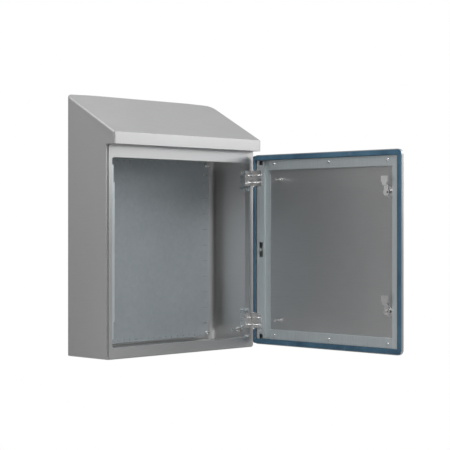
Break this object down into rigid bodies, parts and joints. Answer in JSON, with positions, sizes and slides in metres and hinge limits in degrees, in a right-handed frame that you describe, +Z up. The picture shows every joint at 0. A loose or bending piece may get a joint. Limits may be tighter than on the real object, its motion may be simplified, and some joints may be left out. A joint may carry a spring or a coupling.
{
  "type": "wall-mounted enclosure with a mounting plate",
  "caption": "Stainless-steel wall enclosure with a sloping roof, a hinged door with a rim seal and turning cam locks, and a zinc-coated mounting plate inside.",
  "frame": {"origin": "on the flat wall face at the centre of the four wall-fixing holes, 325 mm above the underside", "axes": "+X to the right seen from the front, +Y into the wall, +Z up; the front of the enclosure faces -Y"},
  "size_m": [0.6146, 0.7814, 0.772],
  "materials": {
    "brushed_steel": "stainless steel sheet with a fine brushed grain",
    "rail_steel": "pale pressed steel",
    "zinc_plate": "zinc-coated steel sheet, faintly blue",
    "hinge_steel": "satin stainless steel",
    "bolt_steel": "bright plated steel",
    "seal_rubber": "matt blue silicone rubber"
  },
  "bodies": {
    "cabinet": {"body_wrapper": "brushed_steel", "roof_panel": "brushed_steel", "floor_panel": "brushed_steel", "front_frame": "brushed_steel", "keeper_strip": "rail_steel", "mounting_plate": "zinc_plate", "plate_stud_1": "bolt_steel", "plate_stud_2": "bolt_steel", "plate_stud_3": "bolt_steel", "plate_stud_4": "bolt_steel", "plate_nut_1": "bolt_steel", "plate_nut_2": "bolt_steel", "plate_nut_3": "bolt_steel", "plate_nut_4": "bolt_steel", "earth_stud": "bolt_steel", "earth_washer": "bolt_steel", "earth_nut": "bolt_steel", "hinge_body_leaf_upper": "hinge_steel", "hinge_bracket_upper": "rail_steel", "hinge_nut_upper_1": "bolt_steel", "hinge_nut_upper_2": "bolt_steel", "hinge_screw_upper": "bolt_steel", "hinge_pin_upper": "bolt_steel", "hinge_body_leaf_lower": "hinge_steel", "hinge_bracket_lower": "rail_steel", "hinge_nut_lower_1": "bolt_steel", "hinge_nut_lower_2": "bolt_steel", "hinge_screw_lower": "bolt_steel", "hinge_pin_lower": "bolt_steel"},
    "door": {"door_skin": "brushed_steel", "door_seal": "seal_rubber", "rail_hinge_side": "rail_steel", "rail_lock_side": "rail_steel", "rail_top": "rail_steel", "rail_bottom": "rail_steel", "rail_screw_top_1": "bolt_steel", "rail_screw_top_2": "bolt_steel", "rail_screw_top_3": "bolt_steel", "rail_screw_bottom_1": "bolt_steel", "rail_screw_bottom_2": "bolt_steel", "rail_screw_bottom_3": "bolt_steel", "rail_bolt": "bolt_steel", "door_stud_upper": "bolt_steel", "door_stud_nut_upper": "bolt_steel", "door_stud_lower": "bolt_steel", "door_stud_nut_lower": "bolt_steel", "hinge_door_leaf_upper": "hinge_steel", "lock_housing_upper": "hinge_steel", "lock_seal_upper": "seal_rubber", "lock_nut_upper": "hinge_steel", "hinge_door_leaf_lower": "hinge_steel", "lock_housing_lower": "hinge_steel", "lock_seal_lower": "seal_rubber", "lock_nut_lower": "hinge_steel"},
    "upper_cam": {"lock_spindle_upper": "hinge_steel", "lock_cam_upper": "rail_steel", "cam_screw_upper": "bolt_steel"},
    "lower_cam": {"lock_spindle_lower": "hinge_steel", "lock_cam_lower": "rail_steel", "cam_screw_lower": "bolt_steel"}
  },
  "joints": [
    {"name": "door_hinge", "type": "hinge", "parent": "cabinet", "child": "door", "pos_m": [0.2935, -0.1984, -0.0175], "axis": [0, 0, 1], "range_deg": [-90, 30]},
    {"name": "upper_lock_turn", "type": "hinge", "parent": "door", "child": "upper_cam", "pos_m": [0.285, -0.7319, 0.1545], "axis": [1, 0, 0], "range_deg": [0, 90]},
    {"name": "lower_lock_turn", "type": "hinge", "parent": "door", "child": "lower_cam", "pos_m": [0.285, -0.7319, -0.1895], "axis": [1, 0, 0], "range_deg": [0, 90]}
  ]
}
